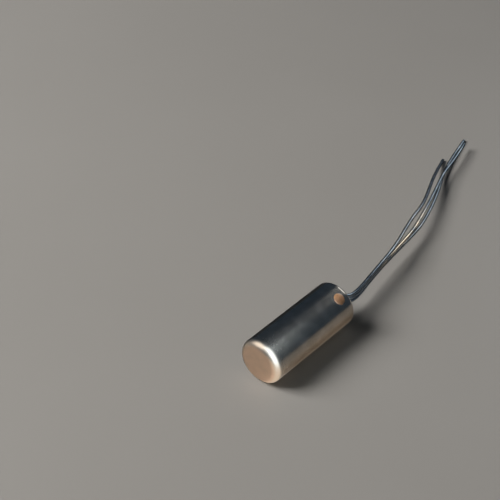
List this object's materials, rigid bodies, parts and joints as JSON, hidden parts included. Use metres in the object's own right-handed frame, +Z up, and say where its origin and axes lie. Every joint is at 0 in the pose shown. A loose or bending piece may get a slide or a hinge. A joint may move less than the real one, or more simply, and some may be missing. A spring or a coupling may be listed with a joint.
{
  "type": "germanium transistor",
  "caption": "Small germanium transistor in a long round metal can, with an enamel dot by the collector and flexible wire leads from a glass seal in its open end.",
  "frame": {"origin": "centre of the can, on its axis", "axes": "+X runs along the can's axis towards the leads, +Z is up as the part lies on a table, and the table is half a can's diameter below the axis"},
  "size_m": [0.0588, 0.0134, 0.0058],
  "materials": {
    "can_plating": "polished",
    "marker_enamel": "gloss",
    "header_plating": "satin",
    "solder": "satin",
    "seal_glass": "gloss",
    "lead_wire": "satin",
    "tab_nickel": "satin",
    "germanium": "polished",
    "indium": "satin",
    "whisker_wire": "satin",
    "silicone": "gloss"
  },
  "bodies": {
    "root": {"can": "can_plating", "marker_dot": "marker_enamel", "header_ring": "header_plating", "seal_solder": "solder", "glass_seal": "seal_glass", "emitter_lead": "lead_wire", "base_lead": "lead_wire", "collector_lead": "lead_wire", "base_tab": "tab_nickel", "wafer_solder": "solder", "germanium_wafer": "germanium", "emitter_pellet": "indium", "collector_pellet": "indium", "emitter_whisker": "whisker_wire", "collector_whisker": "whisker_wire", "silicone_fill": "silicone"}
  },
  "joints": []
}
